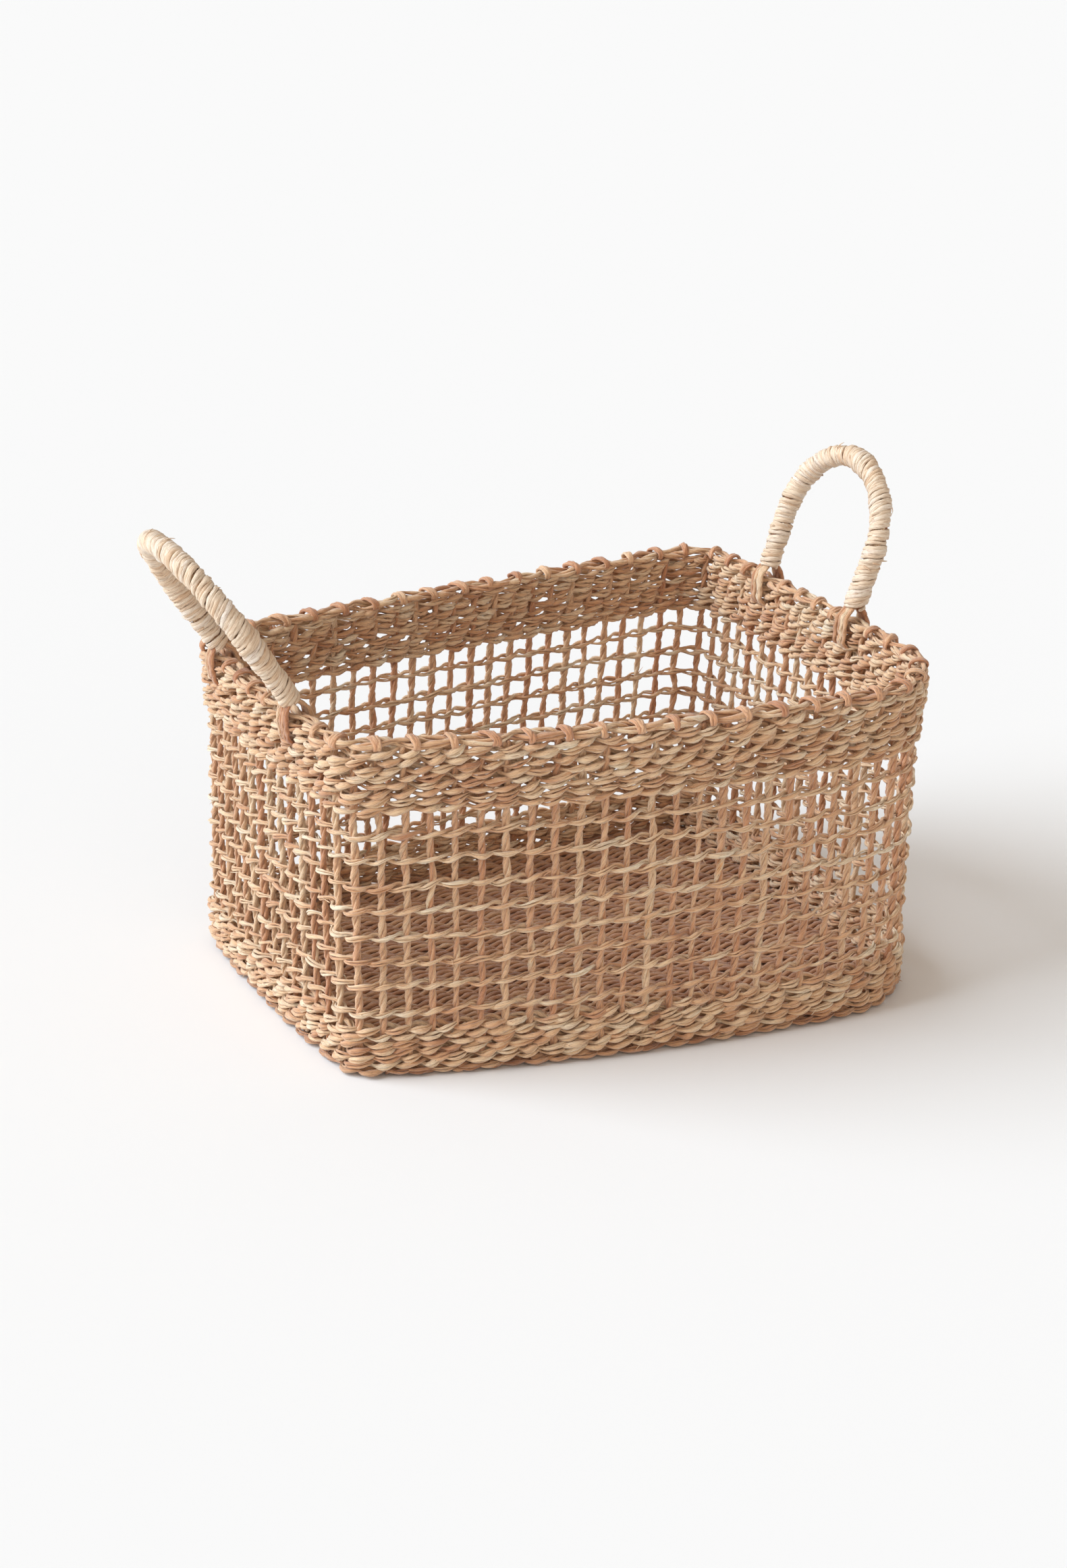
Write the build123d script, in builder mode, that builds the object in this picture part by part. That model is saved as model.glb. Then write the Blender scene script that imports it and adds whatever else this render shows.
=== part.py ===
from build123d import *
import os
from math import cos, radians, sin, sqrt

# Open-weave seagrass storage basket with two wrapped handles.
# Millimetres. X runs along the long side, -Y is the front wall, +Z is up.
# The origin is on the underside of the base, in the middle of the wall's plan.

os.makedirs("parts", exist_ok=True)

# ---- driving dimensions ----------------------------------------------------

# Corners of the wall's centreline: front left, front right, back right, back left.
FOOT_CORNERS = [(-195, -121), (199, -166), (177, 168), (-208, 123)]
RIM_CORNERS = [(-193, -113), (210, -158), (189, 158), (-207, 114)]
CORNER_RADII = [20, 64, 24, 30]
# How far the front, right, back and left walls bow outwards from corner to corner.
FOOT_BOWS = [19, 3, 10, 5]
RIM_BOWS = [23, 3, 2, 8]

STAKE_COUNT = 84
STAKE_RADIUS = 2.5
STAKE_END_GAP = 0.3
FIT_GAP = 0.25

BASE_THICKNESS = 6.5
BASE_EDGE_RADIUS = 3.0
BASE_OVERHANG = 4.0

LOWER_BAND_ROWS = 6
LOWER_BAND_TOP = 35.5
LATTICE_ROWS = 8
LATTICE_ROW_HEIGHT = 6.4
LATTICE_FIRST_ROW = 44.5
LATTICE_LAST_ROW = 164.5
UPPER_BAND_ROWS = 8
UPPER_BAND_BOTTOM = 178.0
RIM_CORD_BOTTOM = 220.5
RIM_TOP = 226.5

# Thickness of the weft strand outside the stakes and of the one inside them.
LOWER_BAND_STRANDS = (4.2, 3.6)
LATTICE_STRANDS = (2.6, 2.6)
UPPER_BAND_STRANDS = (4.0, 3.6)
UPPER_BAND_FLARE = 2.4
RIM_CORD_PROUD = 5.6

KNOT_PITCH = 23.0
KNOT_WIDTH = 7.5
KNOT_THICKNESS = 2.2
KNOT_CLEARANCE = 0.5
KNOT_FREE_LENGTH = 34.0

TIE_STRANDS = 3
TIE_STRAND_WIDTH = 3.8
TIE_STRAND_GAP = 0.2
TIE_THICKNESS = 2.8
TIE_DROP = 19.0
TIE_CLEARANCE = 0.5
TIE_LEAN_ROOM = 1.1

HANDLE_CORE_RADIUS = 4.4
HANDLE_WRAP_RADIUS = 8.4
CORE_FOOT_LIFT = 6.0
WRAP_FOOT_LIFT = 11.0
HANDLE_SPREAD = 1.0

# Each handle: the middle of its feet as a share of its wall's arc, the distance between
# its feet, the height of its straight legs, and how far it leans outwards at rest.
HANDLES = {
    "left": {"middle": 0.43, "feet": 120.0, "legs": 52.0, "lean": 33.0},
    "right": {"middle": 0.5, "feet": 107.0, "legs": 42.0, "lean": 20.0},
}

WALL_NAMES = ["front", "right", "back", "left"]


# ---- the wall's plan -------------------------------------------------------


def blend(foot, rim, level):
    """A value between its foot and its rim value, in proportion to height."""
    return foot + (rim - foot) * level / RIM_TOP


def side_circle(start, end, bow):
    """Centre and radius of the arc that a wall follows from corner to corner."""
    chord = end - start
    radius = (chord.length**2 / 4 + bow**2) / (2 * bow)
    outward = Vector(chord.Y, -chord.X).normalized()
    return (start + end) * 0.5 - outward * (radius - bow), radius


def corner_centre(corner, before, after, radius):
    """Centre of the arc that rounds a corner between two wall circles."""
    gap = after[0] - before[0]
    reach_before, reach_after = before[1] - radius, after[1] - radius
    forward = (reach_before**2 - reach_after**2 + gap.length**2) / (2 * gap.length)
    sideways = sqrt(reach_before**2 - forward**2)
    along = gap.normalized()
    across = Vector(-along.Y, along.X)
    choices = [before[0] + along * forward + across * sign * sideways for sign in (-1, 1)]
    return min(choices, key=lambda choice: (choice - corner).length)


def wall_edges(level, proud=0.0):
    """The plan's arcs at a height and a distance from the centreline: four walls, each
    followed by the corner after it, starting with the front wall."""
    pairs = zip(FOOT_CORNERS, RIM_CORNERS)
    corners = [Vector(*foot) + (Vector(*rim) - Vector(*foot)) * (level / RIM_TOP) for foot, rim in pairs]
    bows = [blend(foot, rim, level) for foot, rim in zip(FOOT_BOWS, RIM_BOWS)]
    sides = [side_circle(corners[i], corners[(i + 1) % 4], bows[i]) for i in range(4)]
    centres = [corner_centre(corners[i], sides[i - 1], sides[i], CORNER_RADII[i]) for i in range(4)]
    edges = []
    for i in range(4):
        after = (i + 1) % 4
        first = (centres[i] - sides[i][0]).normalized()
        last = (centres[after] - sides[i][0]).normalized()
        turn = (centres[after] - sides[after][0]).normalized()
        edges.append(plan_arc(sides[i][0], sides[i][1] + proud, first, last, level))
        edges.append(plan_arc(centres[after], CORNER_RADII[after] + proud, last, turn, level))
    return edges


def plan_arc(centre, radius, first, last, level):
    """The arc about a centre between two directions."""
    lifted = centre + Vector(0, 0, level)
    middle = (first + last).normalized()
    return Edge.make_three_point_arc(*[lifted + way * radius for way in (first, middle, last)])


def plan_face(level, proud):
    """The wall's plan at a height, out to a distance from its centreline."""
    return Face(Wire(wall_edges(level, proud)))


def wall_spots(count, phase):
    """Evenly spaced places around the wall: arc number and share of that arc."""
    lengths = [edge.length for edge in wall_edges(RIM_TOP / 2)]
    spots = []
    for index in range(count):
        distance = (index + phase) / count * sum(lengths)
        arc = 0
        while distance > lengths[arc]:
            distance -= lengths[arc]
            arc += 1
        spots.append((arc, distance / lengths[arc]))
    return spots


def write(part, name):
    """Label a finished piece and write its file."""
    part.label = name
    export_step(part, f"parts/{name}.step")


def write_weft_row(name, level, height, strands):
    """A twined row about a level: one strand outside the stakes and one inside them."""
    clear = STAKE_RADIUS + FIT_GAP
    outside, inside = strands
    half = height / 2
    with BuildPart() as row:
        extrude(plan_face(level, clear + outside), amount=half, both=True)
        extrude(plan_face(level, clear), amount=half, both=True, mode=Mode.SUBTRACT)
        extrude(plan_face(level, -clear), amount=half, both=True)
        extrude(plan_face(level, -clear - inside), amount=half, both=True, mode=Mode.SUBTRACT)
    write(row.part, name)


# ---- base ------------------------------------------------------------------

with BuildPart() as base_panel:
    extrude(plan_face(0, BASE_OVERHANG), amount=BASE_THICKNESS)
    fillet(base_panel.faces().sort_by(Axis.Z)[0].edges(), radius=BASE_EDGE_RADIUS)
write(base_panel.part, "base_panel")

# ---- weft rows -------------------------------------------------------------

lower_pitch = (LOWER_BAND_TOP - BASE_THICKNESS) / LOWER_BAND_ROWS
for index in range(LOWER_BAND_ROWS):
    row_level = BASE_THICKNESS + (index + 0.5) * lower_pitch
    row_name = f"lower_band_row_{index + 1}"
    write_weft_row(row_name, row_level, lower_pitch, LOWER_BAND_STRANDS)

lattice_pitch = (LATTICE_LAST_ROW - LATTICE_FIRST_ROW) / (LATTICE_ROWS - 1)
for index in range(LATTICE_ROWS):
    row_level = LATTICE_FIRST_ROW + index * lattice_pitch
    row_name = f"lattice_row_{index + 1}"
    write_weft_row(row_name, row_level, LATTICE_ROW_HEIGHT, LATTICE_STRANDS)

upper_pitch = (RIM_CORD_BOTTOM - UPPER_BAND_BOTTOM) / UPPER_BAND_ROWS
upper_outside, upper_inside = UPPER_BAND_STRANDS
for index in range(UPPER_BAND_ROWS):
    row_level = UPPER_BAND_BOTTOM + (index + 0.5) * upper_pitch
    flare = UPPER_BAND_FLARE * index / (UPPER_BAND_ROWS - 1)
    row_name = f"upper_band_row_{index + 1}"
    write_weft_row(row_name, row_level, upper_pitch, (upper_outside + flare, upper_inside))
band_face = STAKE_RADIUS + FIT_GAP + upper_outside + UPPER_BAND_FLARE
band_inner_face = STAKE_RADIUS + FIT_GAP + upper_inside

with BuildPart() as rim_cord:
    rim_drop = RIM_CORD_BOTTOM - RIM_TOP
    extrude(plan_face(RIM_TOP, RIM_CORD_PROUD), amount=rim_drop)
    extrude(plan_face(RIM_TOP, -RIM_CORD_PROUD), amount=rim_drop, mode=Mode.SUBTRACT)
write(rim_cord.part, "rim_cord")

# ---- stakes ----------------------------------------------------------------

foot_edges = wall_edges(BASE_THICKNESS + STAKE_END_GAP)
top_edges = wall_edges(RIM_CORD_BOTTOM - STAKE_END_GAP)
stake_ends = {name: [] for name in WALL_NAMES}
for arc, share in wall_spots(STAKE_COUNT, 0.5):
    stake_ends[WALL_NAMES[arc // 2]].append((foot_edges[arc] @ share, top_edges[arc] @ share))

for wall, ends in stake_ends.items():
    with BuildPart() as stakes:
        for foot, top in ends:
            reach = top - foot
            with BuildSketch(Plane(origin=foot, z_dir=reach)):
                Circle(STAKE_RADIUS)
            extrude(amount=reach.length)
    write(stakes.part, f"stakes_{wall}")

# ---- handle feet -----------------------------------------------------------

rim_edges = wall_edges(RIM_TOP)


def handle_feet(side):
    """The two points of the rim under a handle's legs, front one first."""
    edge = rim_edges[2 * WALL_NAMES.index(side)]
    reach = HANDLES[side]["feet"] / 2 / edge.length
    feet = [edge @ (HANDLES[side]["middle"] + sign * reach) for sign in (-1, 1)]
    return sorted(feet, key=lambda foot: foot.Y)


# ---- rim knots -------------------------------------------------------------


def staple_section(place, along, outside, inside, drop, thickness):
    """The outline of a strand bent over the rim: a leg each side and a bridge on top."""
    outward = Vector(along.Y, -along.X)
    middle = (outside - inside) / 2
    grip = outside + inside
    with BuildSketch(Plane(origin=place, x_dir=outward, z_dir=-along)) as section:
        with Locations((middle, (thickness - drop) / 2)):
            Rectangle(grip + 2 * thickness, drop + thickness)
        with Locations((middle, -drop / 2)):
            Rectangle(grip, drop, mode=Mode.SUBTRACT)
    return section.sketch


all_feet = [foot for side in HANDLES for foot in handle_feet(side)]
knot_count = round(sum(edge.length for edge in rim_edges) / KNOT_PITCH)
knot_spots = {name: [] for name in WALL_NAMES}
for arc, share in wall_spots(knot_count, 0.25):
    spot = rim_edges[arc] @ share
    if all((spot - foot).length > KNOT_FREE_LENGTH / 2 for foot in all_feet):
        knot_spots[WALL_NAMES[arc // 2]].append((spot, rim_edges[arc] % share))

knot_grip = RIM_CORD_PROUD + KNOT_CLEARANCE
knot_drop = RIM_TOP - RIM_CORD_BOTTOM - KNOT_CLEARANCE
for wall, spots in knot_spots.items():
    with BuildPart() as knots:
        for spot, tangent in spots:
            section = staple_section(spot, tangent, knot_grip, knot_grip, knot_drop, KNOT_THICKNESS)
            extrude(section, amount=KNOT_WIDTH / 2, both=True)
    write(knots.part, f"rim_knots_{wall}")

# ---- handle ties -----------------------------------------------------------

tie_outside = band_face + TIE_CLEARANCE
tie_inside = band_inner_face + TIE_CLEARANCE + TIE_LEAN_ROOM
for side in HANDLES:
    rim_edge = rim_edges[2 * WALL_NAMES.index(side)]
    for name, foot in zip(("front", "back"), handle_feet(side)):
        along = rim_edge.tangent_at(rim_edge.param_at_point(foot))
        with BuildPart() as tie:
            for strand in range(TIE_STRANDS):
                shift = (strand - (TIE_STRANDS - 1) / 2) * (TIE_STRAND_WIDTH + TIE_STRAND_GAP)
                place = foot + along * shift
                section = staple_section(place, along, tie_outside, tie_inside, TIE_DROP, TIE_THICKNESS)
                extrude(section, amount=TIE_STRAND_WIDTH / 2, both=True)
        write(tie.part, f"{side}_handle_tie_{name}")

# ---- handles ---------------------------------------------------------------


def handle_plane(side):
    """The handle's own plane: X towards the back, Y up its legs, at its hinge line."""
    front, back = handle_feet(side)
    along = (back - front).normalized()
    outward = Vector(along.Y, -along.X) * (1 if side == "right" else -1)
    hinge = (front + back) * 0.5 + Vector(0, 0, TIE_THICKNESS)
    lean = radians(HANDLES[side]["lean"])
    upward = Vector(0, 0, 1) * cos(lean) + outward * sin(lean)
    return Plane(origin=hinge, x_dir=along, z_dir=along.cross(upward))


def handle_path(side, lift):
    """The arch that a handle follows, from a lift above its hinge line."""
    handle = HANDLES[side]
    half = handle["feet"] / 2
    slope = HANDLE_SPREAD / handle["legs"]
    start = half + slope * lift
    shoulder = half + HANDLE_SPREAD
    apex = handle["legs"] + shoulder * (slope + sqrt(1 + slope**2))
    with BuildLine(handle_plane(side)) as arch:
        Line((-start, lift), (-shoulder, handle["legs"]))
        ThreePointArc((-shoulder, handle["legs"]), (0, apex), (shoulder, handle["legs"]))
        Line((shoulder, handle["legs"]), (start, lift))
    return arch.wire()


def write_swept(name, path, radius, hollow=0.0):
    """A round bar or tube along a path."""
    with BuildPart() as swept:
        with BuildSketch(Plane(origin=path @ 0, z_dir=path % 0)):
            Circle(radius)
            if hollow:
                Circle(hollow, mode=Mode.SUBTRACT)
        sweep(path=path)
    write(swept.part, name)


for side in HANDLES:
    core_path = handle_path(side, CORE_FOOT_LIFT)
    wrap_path = handle_path(side, WRAP_FOOT_LIFT)
    write_swept(f"{side}_handle_core", core_path, HANDLE_CORE_RADIUS)
    write_swept(f"{side}_handle_wrap", wrap_path, HANDLE_WRAP_RADIUS, HANDLE_CORE_RADIUS)
    hinge_plane = handle_plane(side)
    print(side, "hinge", hinge_plane.origin, "along", hinge_plane.x_dir)
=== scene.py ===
import math

import bpy
import numpy as np
from mathutils import Matrix, Vector


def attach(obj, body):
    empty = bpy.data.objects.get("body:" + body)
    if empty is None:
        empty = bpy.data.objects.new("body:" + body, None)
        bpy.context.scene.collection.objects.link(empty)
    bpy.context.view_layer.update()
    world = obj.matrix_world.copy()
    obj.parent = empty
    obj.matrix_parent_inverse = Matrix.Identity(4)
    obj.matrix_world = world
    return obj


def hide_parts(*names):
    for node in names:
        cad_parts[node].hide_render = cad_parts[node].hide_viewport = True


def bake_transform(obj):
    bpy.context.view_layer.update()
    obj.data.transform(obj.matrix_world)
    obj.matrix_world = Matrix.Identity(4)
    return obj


# A hand-twined seagrass basket. Every strand is modelled: metres, +X along the long side,
# -Y the front wall, +Z up, the underside of the base at Z = 0.

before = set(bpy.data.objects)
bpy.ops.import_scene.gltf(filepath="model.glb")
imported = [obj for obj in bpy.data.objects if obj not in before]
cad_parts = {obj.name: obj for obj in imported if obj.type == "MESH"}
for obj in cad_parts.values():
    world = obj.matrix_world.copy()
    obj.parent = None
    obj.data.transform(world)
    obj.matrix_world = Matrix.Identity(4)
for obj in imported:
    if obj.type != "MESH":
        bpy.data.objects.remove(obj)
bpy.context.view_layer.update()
rng = np.random.default_rng(41)
MM = 0.001

# ---- dimensions, the same as the CAD source's, in millimetres -----------------------------

FOOT_CORNERS = np.array([(-195, -121), (199, -166), (177, 168), (-208, 123)], float)
RIM_CORNERS = np.array([(-193, -113), (210, -158), (189, 158), (-207, 114)], float)
CORNER_RADII = np.array([20, 64, 24, 30], float)
FOOT_BOWS = np.array([19, 3, 10, 5], float)
RIM_BOWS = np.array([23, 3, 2, 8], float)
STAKES = 84
BASE_THICKNESS = 6.5
LOWER_TOP = 35.5
LOWER_ROWS = 6
LATTICE_FIRST, LATTICE_LAST, LATTICE_ROWS = 44.5, 164.5, 8
UPPER_BOTTOM, UPPER_ROWS = 178.0, 8
RIM_CORD_BOTTOM, RIM_TOP = 220.5, 226.5
TIE_THICKNESS = 2.8
KNOT_PITCH, KNOT_FREE_LENGTH = 23.0, 34.0
HANDLE_SPREAD = 1.0
HANDLE_CORE_LIFT, HANDLE_WRAP_LIFT = 9.0, 4.6
HANDLES = {
    "left": {"wall": 3, "middle": 0.43, "feet": 120.0, "legs": 52.0, "lean": 33.0, "sign": -1},
    "right": {"wall": 1, "middle": 0.5, "feet": 107.0, "legs": 42.0, "lean": 20.0, "sign": 1},
}
WALLS = ["front", "right", "back", "left"]


# ---- the wall's plan ----------------------------------------------------------------------


def unit(v):
    return v / np.linalg.norm(v)


def side_circle(start, end, bow):
    chord = end - start
    length = np.hypot(*chord)
    radius = (length**2 / 4 + bow**2) / (2 * bow)
    outward = np.array([chord[1], -chord[0]]) / length
    return (start + end) / 2 - outward * (radius - bow), radius


def corner_centre(corner, before, after, radius):
    gap = after[0] - before[0]
    span = np.hypot(*gap)
    a, b = before[1] - radius, after[1] - radius
    forward = (a * a - b * b + span * span) / (2 * span)
    sideways = math.sqrt(a * a - forward * forward)
    along = gap / span
    across = np.array([-along[1], along[0]])
    choices = [before[0] + along * forward + across * s * sideways for s in (-1, 1)]
    return min(choices, key=lambda c: np.hypot(*(c - corner)))


def plan_arcs(level):
    """Centre, radius, first angle and last angle of the plan's eight arcs at a height."""
    share = level / RIM_TOP
    corners = FOOT_CORNERS + (RIM_CORNERS - FOOT_CORNERS) * share
    bows = FOOT_BOWS + (RIM_BOWS - FOOT_BOWS) * share
    sides = [side_circle(corners[i], corners[(i + 1) % 4], bows[i]) for i in range(4)]
    middles = [corner_centre(corners[i], sides[i - 1], sides[i], CORNER_RADII[i]) for i in range(4)]
    arcs = []
    for i in range(4):
        j = (i + 1) % 4
        angle = [math.atan2(*(v[::-1])) for v in (middles[i] - sides[i][0], middles[j] - sides[i][0])]
        turn = math.atan2(*((middles[j] - sides[j][0])[::-1]))
        for centre, radius, a, b in ((*sides[i], *angle), (middles[j], CORNER_RADII[j], angle[1], turn)):
            arcs.append((centre, radius, a, a + (b - a) % (2 * math.pi)))
    return arcs


MIDDLE_ARCS = plan_arcs(RIM_TOP / 2)
ARC_LENGTHS = np.array([r * (b - a) for _, r, a, b in MIDDLE_ARCS])
PERIMETER = ARC_LENGTHS.sum()
ARC_ENDS = np.concatenate([[0], np.cumsum(ARC_LENGTHS)]) / PERIMETER
TABLE_SIZE = 4000


def plan_table(level):
    """Points of the wall's centreline at a height, evenly indexed by share of the perimeter."""
    arcs = plan_arcs(level)
    shares = np.arange(TABLE_SIZE) / TABLE_SIZE
    which = np.clip(np.searchsorted(ARC_ENDS, shares, side="right") - 1, 0, 7)
    within = (shares - ARC_ENDS[which]) / (ARC_ENDS[which + 1] - ARC_ENDS[which])
    out = np.zeros((TABLE_SIZE, 2))
    for k, (centre, radius, a, b) in enumerate(arcs):
        at = a + (b - a) * within[which == k]
        out[which == k] = centre + radius * np.c_[np.cos(at), np.sin(at)]
    return out


LOW_LEVEL, HIGH_LEVEL = 6.8, 220.2
LOW_TABLE, HIGH_TABLE = plan_table(LOW_LEVEL), plan_table(HIGH_LEVEL)


def look_up(table, share):
    at = (np.asarray(share) % 1.0) * TABLE_SIZE
    i = np.floor(at).astype(int) % TABLE_SIZE
    f = (at - np.floor(at))[..., None]
    return table[i] * (1 - f) + table[(i + 1) % TABLE_SIZE] * f


def wall(share, level, out=0.0):
    """A point of the wall, and its outward direction there."""
    share, level, out = np.broadcast_arrays(np.asarray(share, float), level, out)
    lift = ((level - LOW_LEVEL) / (HIGH_LEVEL - LOW_LEVEL))[..., None]

    def line(s):
        low, high = look_up(LOW_TABLE, s), look_up(HIGH_TABLE, s)
        return low + (high - low) * lift

    ahead = line(share + 0.002) - line(share - 0.002)
    normal = np.stack([ahead[..., 1], -ahead[..., 0]], -1)
    normal /= np.linalg.norm(normal, axis=-1, keepdims=True)
    point = line(share) + normal * out[..., None]
    zero = np.zeros(share.shape + (1,))
    return np.concatenate([point, level[..., None]], -1), np.concatenate([normal, zero], -1)


# ---- strands ------------------------------------------------------------------------------


def wander(count, knots, size, closed=False):
    """A smooth random line: `knots` random values, blended into `count` samples."""
    knots = max(int(knots), 2)
    values = rng.normal(0, size, knots + (0 if closed else 3))
    at = np.arange(count) / count * knots
    i = np.floor(at).astype(int)
    f = at - i
    f = f * f * (3 - 2 * f)
    n = len(values)
    return values[i % n] * (1 - f) + values[(i + 1) % n] * f


class Yarn:
    """Gathers strands into one mesh, with the fibre direction and a tone kept per vertex."""

    def __init__(self):
        self.points, self.fibre, self.tone = [], [], []
        self.loops, self.sizes = [], []
        self.count = 0

    def strand(self, path, broad, thick, across, tone, sides=8, closed=False, ridges=0.10, twist=0.35):
        """A strand along a path. `thick` is its half size along `across`, `broad` the other one.
        `ridges` and `twist` shape the folded leaf that the strand is rolled from."""
        path = np.asarray(path, float)
        n = len(path)
        across = np.broadcast_to(np.asarray(across, float), path.shape)
        broad, thick, tone = (np.broadcast_to(np.asarray(v, float), (n,)) for v in (broad, thick, tone))
        if closed:
            order = (np.arange(n + 1) + rng.integers(n)) % n
            tangent = np.roll(path, -1, 0) - np.roll(path, 1, 0)
            path, across, tangent = path[order], across[order], tangent[order]
            broad, thick, tone = broad[order], thick[order], tone[order]
            n = n + 1
        else:
            tangent = np.gradient(path, axis=0)
            broad, thick = broad.copy(), thick.copy()
            broad[[0, -1]] *= 0.55
            thick[[0, -1]] *= 0.55
        tangent /= np.linalg.norm(tangent, axis=1, keepdims=True) + 1e-9
        a = across - tangent * (across * tangent).sum(1, keepdims=True)
        a /= np.linalg.norm(a, axis=1, keepdims=True) + 1e-9
        b = np.cross(tangent, a)
        step = np.linalg.norm(np.diff(path, axis=0), axis=1)
        along = np.concatenate([[0], np.cumsum(step)])
        if closed:
            twist = max(round(twist * along[-1] / (2 * math.pi)), 1) * 2 * math.pi / along[-1]
        angle = np.arange(sides) / sides * 2 * math.pi
        start = rng.uniform(0, 6.28)
        turned = angle[None] - twist * along[:, None] - start
        lobe = 1 + ridges * np.cos(2 * turned) + 0.6 * ridges * np.cos(3 * turned + 1.3)
        ca, sa = np.cos(angle)[None] * lobe * thick[:, None], np.sin(angle)[None] * lobe * broad[:, None]
        ring = path[:, None] + a[:, None] * ca[..., None] + b[:, None] * sa[..., None]
        phase = rng.uniform(0, 500)
        fibre = np.stack([np.broadcast_to(along[:, None] + phase, ca.shape), ca + phase, sa], -1)
        self.points.append(ring.reshape(-1, 3) * MM)
        self.fibre.append(fibre.reshape(-1, 3))
        self.tone.append(np.repeat(tone, sides))
        i = np.arange(n - 1)[:, None]
        j = np.arange(sides)[None]
        nxt, side = i + 1, (j + 1) % sides
        quads = np.stack([i * sides + j, i * sides + side, nxt * sides + side, nxt * sides + j], -1)
        self.loops.append(self.count + quads.reshape(-1))
        self.sizes.append(np.full(quads.shape[0] * quads.shape[1], 4))
        if not closed:
            self.loops.append(self.count + np.arange(sides)[::-1])
            self.loops.append(self.count + (n - 1) * sides + np.arange(sides))
            self.sizes.append(np.array([sides, sides]))
        self.count += n * sides

    def build(self, name, material):
        mesh = bpy.data.meshes.new(name)
        points = np.concatenate(self.points)
        loops, sizes = np.concatenate(self.loops), np.concatenate(self.sizes)
        mesh.vertices.add(len(points))
        mesh.vertices.foreach_set("co", points.astype(np.float32).ravel())
        mesh.loops.add(len(loops))
        mesh.loops.foreach_set("vertex_index", loops.astype(np.int32))
        mesh.polygons.add(len(sizes))
        starts = np.concatenate([[0], np.cumsum(sizes)[:-1]])
        mesh.polygons.foreach_set("loop_start", starts.astype(np.int32))
        mesh.polygons.foreach_set("use_smooth", np.ones(len(sizes), bool))
        mesh.update(calc_edges=True)
        fibre = mesh.attributes.new("fibre", "FLOAT_VECTOR", "POINT")
        fibre.data.foreach_set("vector", np.concatenate(self.fibre).astype(np.float32).ravel())
        tone = mesh.attributes.new("tone", "FLOAT", "POINT")
        tone.data.foreach_set("value", np.concatenate(self.tone).astype(np.float32))
        mesh.materials.append(material)
        piece = bpy.data.objects.new(name, mesh)
        bpy.context.scene.collection.objects.link(piece)
        return piece


# ---- materials ----------------------------------------------------------------------------


def linear(colour):
    """A colour given in sRGB, as the renderer's linear one."""
    return tuple(((c + 0.055) / 1.055) ** 2.4 if c > 0.04045 else c / 12.92 for c in colour) + (1.0,)


def seagrass(name, tones, streak, rough=0.72, sheen=0.45):
    """Dried seagrass. `tones` are (place, colour) pairs picked by the strand's own tone, and
    `streak` is the colour of the darker fibres that run along it."""
    material = bpy.data.materials.new(name)
    material.use_nodes = True
    tree = material.node_tree
    nodes, link = tree.nodes, tree.links.new
    nodes.clear()
    output = nodes.new("ShaderNodeOutputMaterial")
    shader = nodes.new("ShaderNodeBsdfPrincipled")
    link(shader.outputs["BSDF"], output.inputs["Surface"])
    shader.inputs["Sheen Weight"].default_value = sheen
    shader.inputs["Sheen Roughness"].default_value = 0.5
    shader.inputs["Specular IOR Level"].default_value = 0.4

    fibre = nodes.new("ShaderNodeAttribute")
    fibre.attribute_name = "fibre"
    tone = nodes.new("ShaderNodeAttribute")
    tone.attribute_name = "tone"

    def stretched(scale, size, detail):
        mapping = nodes.new("ShaderNodeMapping")
        mapping.inputs["Scale"].default_value = scale
        link(fibre.outputs["Vector"], mapping.inputs["Vector"])
        noise = nodes.new("ShaderNodeTexNoise")
        noise.inputs["Scale"].default_value = size
        noise.inputs["Detail"].default_value = detail
        noise.inputs["Roughness"].default_value = 0.6
        link(mapping.outputs["Vector"], noise.inputs["Vector"])
        return noise.outputs["Fac"]

    def maths(kind, a, b):
        node = nodes.new("ShaderNodeMath")
        node.operation = kind
        for socket, value in zip(node.inputs, (a, b)):
            if isinstance(value, float):
                socket.default_value = value
            else:
                link(value, socket)
        return node.outputs["Value"]

    fine = stretched((0.09, 2.6, 2.6), 1.0, 3.0)
    patch = stretched((0.05, 0.25, 0.25), 1.0, 2.0)
    spread = maths("ADD", tone.outputs["Fac"], maths("MULTIPLY", maths("SUBTRACT", patch, 0.5), 0.7))
    spread = maths("ADD", spread, maths("MULTIPLY", maths("SUBTRACT", fine, 0.5), 0.5))
    ramp = nodes.new("ShaderNodeValToRGB")
    while len(ramp.color_ramp.elements) < len(tones):
        ramp.color_ramp.elements.new(0.5)
    for element, (place, colour) in zip(ramp.color_ramp.elements, tones):
        element.position = place
        element.color = linear(colour)
    link(spread, ramp.inputs["Fac"])

    dark = nodes.new("ShaderNodeMapRange")
    dark.inputs["From Min"].default_value = 0.52
    dark.inputs["From Max"].default_value = 0.68
    dark.inputs["To Max"].default_value = 0.75
    link(stretched((0.13, 3.4, 3.4), 1.0, 2.0), dark.inputs["Value"])
    mix = nodes.new("ShaderNodeMix")
    mix.data_type = "RGBA"
    link(dark.outputs["Result"], mix.inputs["Factor"])
    link(ramp.outputs["Color"], mix.inputs["A"])
    mix.inputs["B"].default_value = linear(streak)
    link(mix.outputs["Result"], shader.inputs["Base Color"])

    gloss = nodes.new("ShaderNodeMapRange")
    gloss.inputs["To Min"].default_value = rough - 0.14
    gloss.inputs["To Max"].default_value = rough + 0.12
    link(fine, gloss.inputs["Value"])
    link(gloss.outputs["Result"], shader.inputs["Roughness"])

    bump = nodes.new("ShaderNodeBump")
    bump.inputs["Strength"].default_value = 0.75
    bump.inputs["Distance"].default_value = 0.0016
    link(stretched((0.06, 1.9, 1.9), 1.0, 4.0), bump.inputs["Height"])
    link(bump.outputs["Normal"], shader.inputs["Normal"])
    return material


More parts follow.
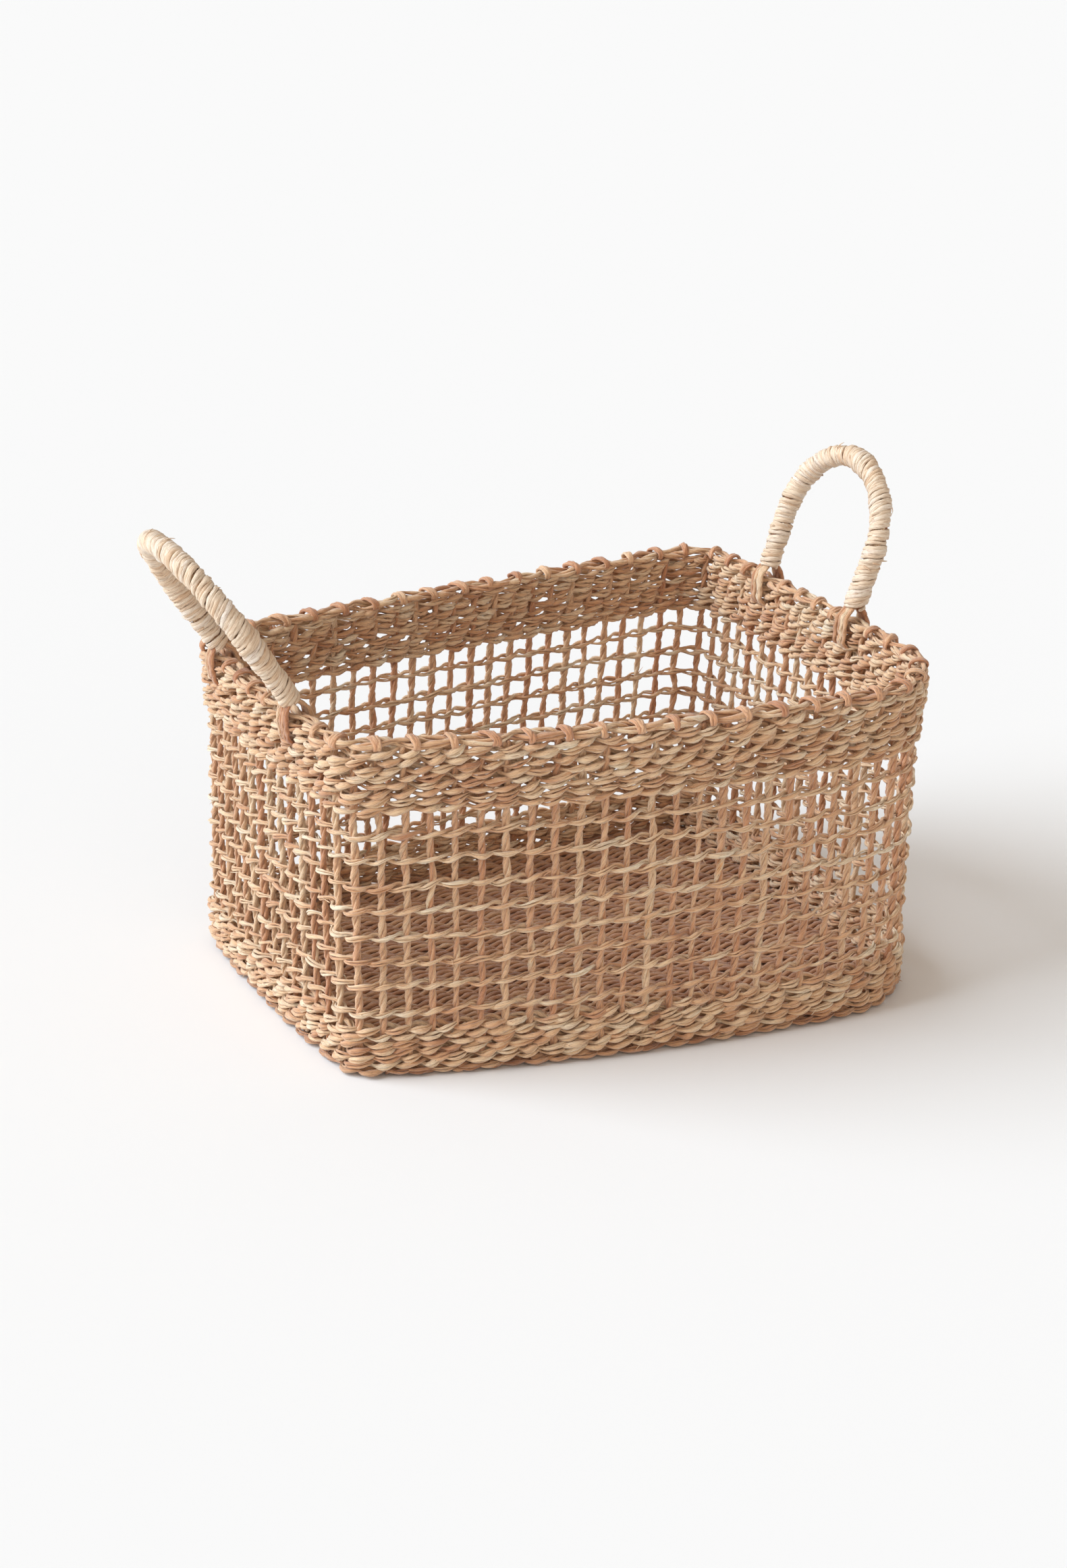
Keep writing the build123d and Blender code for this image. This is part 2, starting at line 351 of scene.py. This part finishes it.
WEFT = seagrass(
    "seagrass_weft",
    [
        (0.0, (0.77, 0.54, 0.38)),
        (0.3, (0.89, 0.68, 0.50)),
        (0.6, (0.96, 0.81, 0.64)),
        (1.0, (0.99, 0.92, 0.80)),
    ],
    (0.58, 0.34, 0.20),
)
STAKE = seagrass(
    "seagrass_stake",
    [
        (0.0, (0.77, 0.52, 0.36)),
        (0.35, (0.87, 0.64, 0.47)),
        (0.65, (0.94, 0.77, 0.60)),
        (0.9, (0.97, 0.87, 0.73)),
        (1.0, (0.93, 0.70, 0.48)),
    ],
    (0.52, 0.29, 0.17),
)
KNOT = seagrass(
    "seagrass_knot",
    [
        (0.0, (0.70, 0.45, 0.30)),
        (0.4, (0.86, 0.63, 0.46)),
        (0.75, (0.94, 0.77, 0.60)),
        (1.0, (0.97, 0.88, 0.75)),
    ],
    (0.52, 0.29, 0.17),
)
# The base weave is the same seagrass as the walls; its darker tones and darker streak are painted shade, the
# shadow that lies on the base inside the basket.
SHADED_BASE = seagrass(
    "seagrass_base_painted_shade",
    [
        (0.0, (0.60, 0.39, 0.26)),
        (0.35, (0.77, 0.55, 0.39)),
        (0.7, (0.86, 0.67, 0.50)),
        (1.0, (0.92, 0.78, 0.62)),
    ],
    (0.45, 0.26, 0.15),
)
CORE = seagrass(
    "seagrass_core",
    [
        (0.0, (0.62, 0.37, 0.24)),
        (0.4, (0.81, 0.57, 0.40)),
        (0.7, (0.91, 0.74, 0.57)),
        (1.0, (0.96, 0.86, 0.72)),
    ],
    (0.46, 0.25, 0.14),
)
WRAP = seagrass(
    "raffia_wrap",
    [
        (0.0, (0.86, 0.69, 0.54)),
        (0.3, (0.94, 0.82, 0.69)),
        (0.65, (0.98, 0.90, 0.80)),
        (1.0, (1.0, 0.95, 0.89)),
    ],
    (0.68, 0.47, 0.32),
    rough=0.62,
    sheen=0.15,
)


def place(yarn, name, material, body, slot, *nodes):
    """Builds a piece that rides on a body and stands for the CAD nodes."""
    piece = yarn.build(name, material)
    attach(piece, body)
    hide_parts(*nodes)
    return piece


# ---- twined weft rows ---------------------------------------------------------------------


def twined(
    yarn, level, front, back, rise, broad, thick, span, phase, rough, pale=0.5, taper=0.2, stray=0.5
):
    """A closed pair of strands that change sides every `span` stakes. `front` and `back` are
    how far a strand's middle stands outside and inside the stakes' centreline. `rough`, `taper`
    and `stray` are how far it wanders, how it thins behind the wall and how its turns slip.
    Each strand is two leaf strips laid loosely round each other."""
    samples, sides = 8, 6
    count = STAKES * samples
    steps = np.arange(count) / samples
    drift = wander(count, 17, 0.55 * rough, True) + wander(count, 60, 0.35 * rough, True)
    for strand in (0, 1):
        theta = math.pi * (steps - 0.5 - phase) / span + strand * math.pi
        theta = theta + wander(count, STAKES, 0.3, True) + wander(count, 21, stray, True)
        facing = np.cos(theta)
        side = np.tanh(1.3 * facing) / math.tanh(1.3)
        out = (front + back) / 2 + (front - back) / 2 * side + wander(count, STAKES, 0.22, True)
        lift = rise * (1 + wander(count, STAKES, 0.45, True))
        height = level + drift + lift * np.sin(theta) + wander(count, STAKES * 1.5, 0.2 * rough, True)
        point, normal = wall(steps / STAKES, height, out)
        plump = 1 - taper + taper * facing**2 + wander(count, STAKES * 0.7, 0.10, True)
        tone = pale + wander(count, STAKES, 0.13, True) + wander(count, 24, 0.09, True) + rng.normal(0, 0.05)
        lean = normal + np.array([0, 0, 0.5]) * np.sin(theta)[:, None]
        lean /= np.linalg.norm(lean, axis=1, keepdims=True)
        ahead = np.roll(point, -1, 0) - np.roll(point, 1, 0)
        ahead /= np.linalg.norm(ahead, axis=1, keepdims=True)
        over = np.cross(ahead, lean)
        turn = steps * math.pi * 0.5 + rng.uniform(0, 6.28) + wander(count, STAKES * 0.5, 0.7, True)
        for strip in (0, 1):
            angle = turn + strip * math.pi
            spread = 0.46 * (1 + wander(count, STAKES * 0.8, 0.16, True))
            path = point + lean * (spread * thick * plump * np.cos(angle))[:, None]
            path = path + over * (spread * broad * plump * np.sin(angle))[:, None]
            across = lean * np.cos(angle)[:, None] + over * np.sin(angle)[:, None]
            fold = 1 + wander(count, STAKES * 1.2, 0.10, True)
            strip_tone = tone + wander(count, STAKES * 0.6, 0.09, True) + rng.normal(0, 0.04)
            size = plump * (broad + thick) / 2
            wide, flat = 0.74 * size * fold, 0.46 * size / fold
            yarn.strand(path, wide, flat, across, strip_tone, sides, True, 0.16, 0.2)


def whisker(yarn, share, level, out, length, radius, tone):
    """A loose fibre that stands off the weave."""
    start, normal = wall(share, level, out)
    ahead = wall(share + 0.002, level, out)[0] - start
    ahead = ahead / np.linalg.norm(ahead)
    way = normal * rng.uniform(0.2, 0.7) + ahead * rng.normal(0, 0.8) + np.array([0, 0, rng.normal(0, 0.5)])
    bend = np.array([rng.normal(0, 0.4), rng.normal(0, 0.4), rng.normal(-0.1, 0.4)])
    t = np.linspace(0, 1, 7)[:, None]
    path = start - normal * 1.2 + unit(way) * length * t + bend * length * 0.5 * t**2
    yarn.strand(path, radius * (1 - 0.7 * t[:, 0]), radius * (1 - 0.7 * t[:, 0]), (0.3, 0.2, 0.9), tone, 5)


lower_pitch = (LOWER_TOP - BASE_THICKNESS) / LOWER_ROWS
for index in range(LOWER_ROWS):
    yarn = Yarn()
    level = BASE_THICKNESS + (index + 0.5) * lower_pitch
    tuck = -0.9 if index == 0 else 0.0
    twined(yarn, level, 4.2 + tuck, -3.8, 1.3, 3.1, 2.4, 1, rng.uniform(), 0.6, 0.5, 0.42)
    for _ in range(7):
        whisker(yarn, rng.uniform(), level, 6.0, rng.uniform(3, 7), 0.35, rng.uniform(0.3, 0.9))
    name = f"lower_band_row_{index + 1}"
    place(yarn, name + "_strands", WEFT, "basket", "weft_cord", name)

lattice_pitch = (LATTICE_LAST - LATTICE_FIRST) / (LATTICE_ROWS - 1)
for index in range(LATTICE_ROWS):
    yarn = Yarn()
    level = LATTICE_FIRST + index * lattice_pitch
    twined(yarn, level, 3.3, -2.5, 1.35, 2.25, 1.75, 1, 0.0, 1.3, 0.56, 0.3, 0.12)
    for _ in range(14):
        whisker(yarn, rng.uniform(), level, 3.6, rng.uniform(4, 10), 0.4, rng.uniform(0.2, 0.9))
    name = f"lattice_row_{index + 1}"
    place(yarn, name + "_strands", WEFT, "basket", "weft_cord", name)

upper_pitch = (RIM_CORD_BOTTOM - UPPER_BOTTOM) / UPPER_ROWS
for index in range(UPPER_ROWS):
    yarn = Yarn()
    level = UPPER_BOTTOM + (index + 0.5) * upper_pitch
    flare = 2.4 * index / (UPPER_ROWS - 1)
    twined(yarn, level, 4.2 + 0.85 * flare, -3.8, 1.3, 3.1, 2.4, 1, rng.uniform(), 0.6, 0.54, 0.42)
    for _ in range(7):
        whisker(yarn, rng.uniform(), level, 6.0 + flare, rng.uniform(3, 8), 0.35, rng.uniform(0.3, 0.9))
    name = f"upper_band_row_{index + 1}"
    place(yarn, name + "_strands", WEFT, "basket", "weft_cord", name)

yarn = Yarn()
twined(yarn, 223.4, 4.8, -3.7, 1.3, 2.9, 2.9, 2, 0.25, 0.7, 0.5, 0.3)
place(yarn, "rim_cord_strands", WEFT, "basket", "weft_cord", "rim_cord")

# ---- stakes -------------------------------------------------------------------------------

stake_yarns = {name: Yarn() for name in WALLS}
for index in range(STAKES):
    share = (index + 0.5) / STAKES
    arc = min(int(np.searchsorted(ARC_ENDS, share, side="right")) - 1, 7)
    samples = 96
    height = np.linspace(6.8, 221.0, samples)
    sway = wander(samples, 12, 0.55) + wander(samples, 4, 0.4)
    middle, normal = wall(share + sway / PERIMETER, height, wander(samples, 12, 0.25))
    ahead = np.cross(np.array([0, 0, 1.0]), normal)
    size = rng.normal(1, 0.09)
    tone = rng.normal(0.45, 0.13)
    kind = rng.uniform()
    tone = 0.80 if kind > 0.86 else float(np.clip(tone, 0.05, 0.68))
    turn = height / rng.uniform(24, 34) * 2 * math.pi + rng.uniform(0, 6.28) + wander(samples, 8, 0.5)
    for ply in (0, 1):
        angle = turn + ply * math.pi
        offset = 1.12 * size
        path = middle + offset * (normal * np.cos(angle)[:, None] + ahead * np.sin(angle)[:, None])
        thickness = 1.5 * size * (1 + wander(samples, 14, 0.07))
        across = normal * np.cos(angle)[:, None] + ahead * np.sin(angle)[:, None]
        ply_tone = tone + rng.normal(0, 0.04) + wander(samples, 8, 0.07)
        if rng.uniform() > 0.9:
            ply_tone = ply_tone + 0.5 * np.exp(-(((height - rng.uniform(40, 180)) / 12) ** 2))
        yarn = stake_yarns[WALLS[arc // 2]]
        yarn.strand(path, thickness * 1.2, thickness, across, ply_tone, 7, False, 0.1, 0.3)
for name, yarn in stake_yarns.items():
    node = f"stakes_{name}"
    place(yarn, node + "_cords", STAKE, "basket", "stake_cord", node)

# ---- handles' feet ------------------------------------------------------------------------


def rim_point(arc, share):
    """A point of the rim's plan on one of its arcs, and the direction along it."""
    centre, radius, a, b = plan_arcs(RIM_TOP)[arc]
    at = a + (b - a) * share
    point = np.array([*(centre + radius * np.array([math.cos(at), math.sin(at)])), RIM_TOP])
    return point, np.array([-math.sin(at), math.cos(at), 0.0])


def handle_feet(side):
    handle = HANDLES[side]
    centre, radius, a, b = plan_arcs(RIM_TOP)[2 * handle["wall"]]
    reach = handle["feet"] / 2 / (radius * (b - a))
    feet = [rim_point(2 * handle["wall"], handle["middle"] + s * reach) for s in (-1, 1)]
    return sorted(feet, key=lambda foot: foot[0][1])


ALL_FEET = [foot for side in HANDLES for foot, _ in handle_feet(side)]

# ---- rim knots ----------------------------------------------------------------------------


def knot(yarn, share, size, tone, slant):
    """A stake's end, bent over the rim cord and pulled tight: three strips side by side."""
    count = 17
    turn = np.linspace(-0.7, math.pi + 0.55, count)
    for strip in (-1, 0, 1):
        reach, tall = rng.uniform(6.2, 7.0), rng.uniform(3.7, 4.7) + (0.4 if strip == 0 else 0.0)
        out = 0.9 + reach * np.cos(turn) * (1 - 0.06 * np.abs(np.cos(turn)))
        level = 223.2 + tall * np.sin(turn)
        pinch = 1 - 0.45 * np.cos(turn) ** 2
        shift = strip * 1.75 * size * pinch + slant * np.cos(turn) + wander(count, 5, 0.3)
        point, normal = wall(share + shift / PERIMETER, level, out)
        outward = normal * np.cos(turn)[:, None] + np.array([0, 0, 1.0]) * np.sin(turn)[:, None]
        width = 1.45 * size * (1 + wander(count, 5, 0.14))
        yarn.strand(point, width, width * 0.72, outward, tone + rng.normal(0, 0.09), 8, False, 0.16, 0.4)


rim_arcs = plan_arcs(RIM_TOP)
rim_length = sum(r * (b - a) for _, r, a, b in rim_arcs)
knot_count = round(rim_length / KNOT_PITCH)
knot_yarns = {name: Yarn() for name in WALLS}
for index in range(knot_count):
    share = (index + 0.25) / knot_count
    arc = min(int(np.searchsorted(ARC_ENDS, share, side="right")) - 1, 7)
    within = (share - ARC_ENDS[arc]) / (ARC_ENDS[arc + 1] - ARC_ENDS[arc])
    spot = rim_point(arc, within)[0]
    if min(np.linalg.norm(spot - foot) for foot in ALL_FEET) < KNOT_FREE_LENGTH / 2:
        continue
    tone = float(np.clip(rng.normal(0.45, 0.15), 0.1, 0.85))
    knot(knot_yarns[WALLS[arc // 2]], share, rng.uniform(0.86, 1.08), tone, rng.normal(1.6, 1.0))
clump = ARC_ENDS[5] * 0.35 + ARC_ENDS[6] * 0.65
for offset in (-13, -8.5, -4.5, 4.5, 9):
    size, tone, slant = rng.uniform(0.9, 1.15), rng.uniform(0.2, 0.6), rng.normal(0, 2.5)
    knot(knot_yarns["back"], clump + offset / PERIMETER, size, tone, slant)
for name, yarn in knot_yarns.items():
    node = f"rim_knots_{name}"
    place(yarn, node + "_loops", KNOT, "basket", "rim_knot", node)

# ---- handles ------------------------------------------------------------------------------


def handle_frame(side):
    """The handle's hinge point, and its along, up and face directions."""
    handle = HANDLES[side]
    (front, _), (back, _) = handle_feet(side)
    along = unit(back - front)
    outward = np.array([along[1], -along[0], 0.0]) * handle["sign"]
    lean = math.radians(handle["lean"])
    up = np.array([0, 0, 1.0]) * math.cos(lean) + outward * math.sin(lean)
    return (front + back) / 2 + np.array([0, 0, TIE_THICKNESS]), along, up, np.cross(along, up)


def handle_line(side, lift, step):
    """The arch's middle line, at an even step, and its outward direction in the arch's plane."""
    handle = HANDLES[side]
    half, legs = handle["feet"] / 2, handle["legs"]
    slope = HANDLE_SPREAD / legs
    shoulder = half + HANDLE_SPREAD
    centre, radius = legs + shoulder * slope, shoulder * math.sqrt(1 + slope * slope)
    tilt = math.atan(slope)
    turn = np.linspace(math.pi + tilt, -tilt, 90)
    arch = np.c_[radius * np.cos(turn), centre + radius * np.sin(turn)]
    flat = np.concatenate([[(-half - slope * lift, lift)], arch, [(half + slope * lift, lift)]])
    reach = np.concatenate([[0], np.cumsum(np.linalg.norm(np.diff(flat, axis=0), axis=1))])
    at = np.arange(0, reach[-1], step)
    flat = np.c_[np.interp(at, reach, flat[:, 0]), np.interp(at, reach, flat[:, 1])]
    origin, along, up, face = handle_frame(side)
    point = origin + flat[:, :1] * along + flat[:, 1:] * up
    tangent = np.gradient(flat, axis=0)
    tangent /= np.linalg.norm(tangent, axis=1, keepdims=True)
    outward = -tangent[:, 1:] * along + tangent[:, :1] * up
    return point, outward, face, at


for side in HANDLES:
    body = f"{side}_handle"

    yarn = Yarn()
    point, outward, face, at = handle_line(side, HANDLE_CORE_LIFT, 3.0)
    for cord in range(5):
        angle = cord * 2 * math.pi / 5 + at / 46.0
        path = point + 2.9 * (outward * np.cos(angle)[:, None] + face * np.sin(angle)[:, None])
        yarn.strand(path, 2.5, 2.5, outward, 0.35 + 0.12 * cord, 9)
    place(yarn, f"{side}_handle_core_cords", CORE, body, "handle_core", f"{side}_handle_core")

    yarn = Yarn()
    point, outward, face, at = handle_line(side, HANDLE_WRAP_LIFT, 0.125)
    total = at[-1]
    ahead = np.gradient(point, axis=0)
    ahead /= np.linalg.norm(ahead, axis=1, keepdims=True)
    lanes, width = 3, 2.75
    step_angle = 2 * math.pi / (width * lanes)
    lumps = wander(len(at), total / 12, 0.34) + wander(len(at), total / 4, 0.22)
    slide = wander(len(at), total / 9, 0.5)
    tilt = 1.1 + wander(len(at), total / 16, 0.9)
    for lane in range(lanes):
        angle = at * step_angle + lane * 2 * math.pi / lanes
        stray = wander(len(at), total / 5.0, 0.62)
        radius = 6.7 + lumps + wander(len(at), total / 2.4, 0.24)
        ends = np.clip(np.minimum(at, total - at) / 4.0, 0, 1)
        radius = radius * (0.84 + 0.16 * ends)
        way = outward * np.cos(angle)[:, None] + face * np.sin(angle)[:, None]
        lean = tilt * np.sin(angle + 0.6)
        path = point + way * radius[:, None] + ahead * ((stray + slide + lean) * ends)[:, None]
        broad = 1.75 * (1 + wander(len(at), total / 3.5, 0.16))
        tone = 0.6 + wander(len(at), total / 3.5, 0.16) + wander(len(at), total / 14, 0.08)
        thick = 1.05 * (1 + wander(len(at), total / 3, 0.12))
        slope = way + ahead * (0.35 * wander(len(at), total / 5.0, 0.8))[:, None]
        yarn.strand(path, broad, thick, slope, tone, 7, False, 0.16, 0.25)
    for _ in range(16):
        k = int(rng.uniform(0.04, 0.96) * len(at))
        angle = rng.uniform(0, 6.28)
        way = outward[k] * math.cos(angle) + face * math.sin(angle)
        ahead = unit(point[min(k + 4, len(at) - 1)] - point[k])
        around = np.cross(ahead, way)
        t = np.linspace(0, 1, 8)[:, None]
        length = rng.uniform(4, 10)
        lift = rng.uniform(0.05, 0.35)
        path = point[k] + way * 7.5 + around * length * t * 0.8 + ahead * length * rng.normal(0, 0.4) * t
        path = path + way * (lift * length * t - 0.06 * length**2 / 7.3 * t**2 * 4)
        yarn.strand(path, 0.8 * (1 - 0.6 * t[:, 0]), 0.5 * (1 - 0.6 * t[:, 0]), way, rng.uniform(0.1, 0.8), 6)
    place(yarn, f"{side}_handle_wrap_strands", WRAP, body, "handle_wrap", f"{side}_handle_wrap")

# ---- handle ties --------------------------------------------------------------------------


def smooth_line(knots, count):
    """A Catmull-Rom line through points."""
    knots = np.asarray(knots, float)
    padded = np.concatenate([[2 * knots[0] - knots[1]], knots, [2 * knots[-1] - knots[-2]]])
    t = np.linspace(0, len(knots) - 1, count)
    i = np.clip(np.floor(t).astype(int), 0, len(knots) - 2)
    f = (t - i)[:, None]
    a, b, c, d = (padded[i + k] for k in range(4))
    return 0.5 * (2 * b + (c - a) * f + (2 * a - 5 * b + 4 * c - d) * f**2 + (3 * b - a - 3 * c + d) * f**3)


upright = np.array([0, 0, 1.0])
for side in HANDLES:
    origin, along, up, face = handle_frame(side)
    for end, (foot, tangent) in zip(("front", "back"), handle_feet(side)):
        outward = np.array([tangent[1], -tangent[0], 0.0])
        slip = tangent if tangent @ along > 0 else -tangent
        hinge = foot + np.array([0, 0, TIE_THICKNESS])
        yarn = Yarn()
        for cord in range(8):
            outside = cord % 2 == 0
            lane = (cord // 2 - 1.5) * 3.3 + rng.normal(0, 0.35)
            face_out = 9.7 if outside else -8.3
            tuck = 3.0 if outside else -2.5
            top_angle = cord * math.pi / 4
            top = 2.6 * (slip * math.cos(top_angle) + outward * math.sin(top_angle))
            sway = rng.normal(0, 0.8)
            sag = 0.9 if outside else 0.0
            knots = [
                hinge + up * 17 + top,
                hinge + up * 11 + top * 1.15,
                hinge + up * 5.5 + slip * lane * 0.6 + outward * (3.4 if outside else -3.4),
                foot + slip * lane * 0.8 + outward * face_out * 0.86 + 1.6 * upright,
                foot + slip * (lane + sway * 0.5) + outward * face_out - 4.5 * upright,
                foot + slip * (lane + sway) + outward * (face_out - sag) - 11.0 * upright,
                foot + slip * (lane + sway * 1.3) + outward * (face_out - 2.3 * sag) - 16.5 * upright,
                foot + slip * (lane + sway * 1.5) + outward * tuck - 21.5 * upright,
            ]
            path = smooth_line(knots, 40)
            size = 1.72 * rng.uniform(0.88, 1.12)
            tone = (0.3, 0.66, 0.5, 0.85, 0.36, 0.6, 0.72, 0.45)[cord] + rng.normal(0, 0.05)
            across = outward * (1 if outside else -1) + np.array([0, 0, 0.4])
            yarn.strand(path, size * 1.1, size * 0.85, across, tone, 8, False, 0.16, 0.35)
        name = f"{side}_handle_tie_{end}"
        piece = yarn.build(name + "_cords", CORE)
        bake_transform(piece)
        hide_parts(name)

# ---- base ---------------------------------------------------------------------------------

yarn = Yarn()
base_line = look_up(plan_table(2.0), np.arange(800) / 800)
row_pitch = 5.6
low_y, high_y = base_line[:, 1].min(), base_line[:, 1].max()
turn_sign = 1
for row in range(int((high_y - low_y) / row_pitch)):
    y = low_y + (row + 0.6) * row_pitch
    crossing = []
    for k in range(800):
        p, q = base_line[k - 1], base_line[k]
        if (p[1] - y) * (q[1] - y) < 0:
            crossing.append(p[0] + (q[0] - p[0]) * (y - p[1]) / (q[1] - p[1]))
    if len(crossing) < 2:
        continue
    x0, x1 = min(crossing) + 1.5, max(crossing) - 1.5
    count = max(int((x1 - x0) / 3.0), 8)
    x = np.linspace(x0, x1, count)
    bow = 1.2 * np.sin(x / 90.0) + wander(count, 12, 0.3)
    for strand in (0, 1):
        theta = x / 15.0 * math.pi + strand * math.pi + row * 0.4
        path = np.c_[x, y + bow + turn_sign * 1.4 * np.sin(theta), 3.6 + 1.9 * np.cos(theta)]
        plump = 0.85 + 0.15 * np.cos(theta) ** 2 + wander(count, count / 6, 0.07)
        tone = 0.45 + wander(count, count / 7, 0.15) + rng.normal(0, 0.06)
        yarn.strand(path, 2.2 * plump, 1.6 * plump, (0, 0, 1.0), tone, 7, False, 0.16, 0.3)
    turn_sign = -turn_sign if row % 5 == 4 else turn_sign
# The base's edge is one more twined row.
twined(yarn, 3.9, 2.6, -3.2, 0.5, 2.3, 2.2, 1, 0.5, 0.3, 0.5, 0.3)
# The base weave takes the darker seagrass, with the shade inside the basket painted into its colour.
place(yarn, "base_panel_weave", SHADED_BASE, "basket", "base_weave", "base_panel")

# ---- floor, light and camera --------------------------------------------------------------

bpy.ops.mesh.primitive_plane_add(size=200, location=(0, 0, 0))
floor = bpy.context.object
floor.name = "floor"
paper = bpy.data.materials.new("floor_paper")
paper.use_nodes = True
paper_shader = paper.node_tree.nodes["Principled BSDF"]
paper_shader.inputs["Base Color"].default_value = linear((0.945, 0.945, 0.945))
paper_shader.inputs["Roughness"].default_value = 0.95
paper_shader.inputs["Specular IOR Level"].default_value = 0.0
floor.data.materials.append(paper)

world = bpy.data.worlds.new("studio")
bpy.context.scene.world = world
world.use_nodes = True
sky = world.node_tree.nodes["Background"]
sky.inputs["Color"].default_value = (1.0, 0.885, 0.765, 1.0)
sky.inputs["Strength"].default_value = 0.46


def sun(name, towards, strength, softness, colour):
    """A distant light that shines in a direction."""
    data = bpy.data.lights.new(name, "SUN")
    data.energy = strength
    data.angle = softness
    data.color = colour
    lamp = bpy.data.objects.new(name, data)
    bpy.context.scene.collection.objects.link(lamp)
    lamp.rotation_mode = "QUATERNION"
    lamp.rotation_quaternion = Vector(towards).to_track_quat("-Z", "Y")
    return lamp


sun("key", (0.90, -0.28, -0.60), 3.97, 0.9, (0.82, 0.91, 1.0))
sun("fill", (0.25, 0.90, -0.45), 0.5, 1.0, (1.0, 0.90, 0.80))

camera_data = bpy.data.cameras.new("camera")
camera_data.lens = 71.33
camera_data.sensor_width = 36.0
camera = bpy.data.objects.new("camera", camera_data)
bpy.context.scene.collection.objects.link(camera)
right = Vector((0.91219, -0.40974, 0.00469))
above = Vector((0.14829, 0.34075, 0.92838))
ahead = Vector((0.38199, 0.84617, -0.37159))
turned = Matrix((right, above, -ahead)).transposed().to_4x4()
camera.matrix_world = Matrix.Translation((-0.8147, -1.7693, 0.9047)) @ turned
bpy.context.scene.camera = camera
bpy.context.scene.view_settings.view_transform = "Standard"
